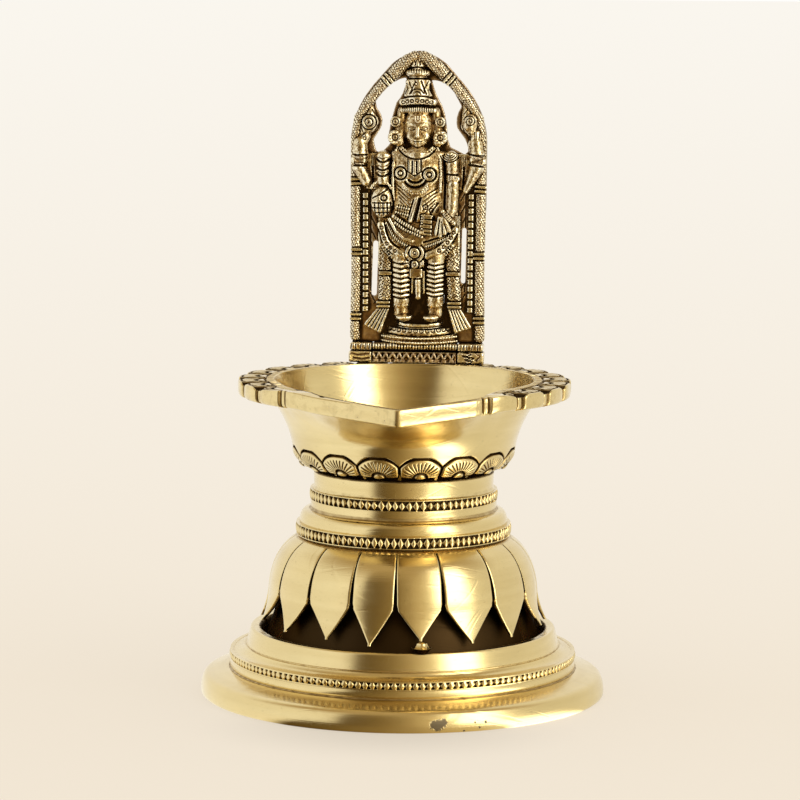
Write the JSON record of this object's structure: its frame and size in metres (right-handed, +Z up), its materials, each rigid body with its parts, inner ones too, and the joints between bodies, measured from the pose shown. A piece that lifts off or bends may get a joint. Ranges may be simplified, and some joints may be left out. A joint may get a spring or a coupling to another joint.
{
  "type": "standing oil lamp",
  "caption": "Standing brass oil lamp: stepped foot, sawn lotus-petal skirt, beaded neck, screw-on bowl with pointed spout, relief plaque on its rim.",
  "frame": {"origin": "centre of the foot, on the surface that the lamp stands on", "axes": "+Z up along the turned axis, -Y towards the spout, +Y towards the plaque, +X to the viewer's right when the spout faces the viewer"},
  "size_m": [0.131, 0.131, 0.2066],
  "materials": {
    "satin_brass": "satin, turned",
    "antiqued_brass": "antiqued, dark in the recesses",
    "plated_steel": "zinc plated"
  },
  "bodies": {
    "stand": {"foot": "satin_brass", "petal_skirt": "satin_brass", "neck": "satin_brass", "tie_bolt": "plated_steel", "tie_washer": "plated_steel", "braze_tack": "satin_brass"},
    "stud": {"bowl_stud": "satin_brass"},
    "cup": {"bowl": "satin_brass", "plaque_base": "antiqued_brass", "plaque_screws": "satin_brass", "figure_plaque": "antiqued_brass"}
  },
  "joints": [
    {"name": "bowl_rise", "type": "slide", "parent": "stand", "child": "stud", "axis": [0, 0, 1], "range_m": [0, 0.0121]},
    {"name": "bowl_turn", "type": "hinge", "parent": "stud", "child": "cup", "pos_m": [0, 0, 0.073], "axis": [0, 0, 1], "range_deg": [0, 2880]}
  ],
  "couplings": [
    {"joint": "bowl_rise", "follows": "bowl_turn", "m_per_rad": 0.00023873}
  ]
}
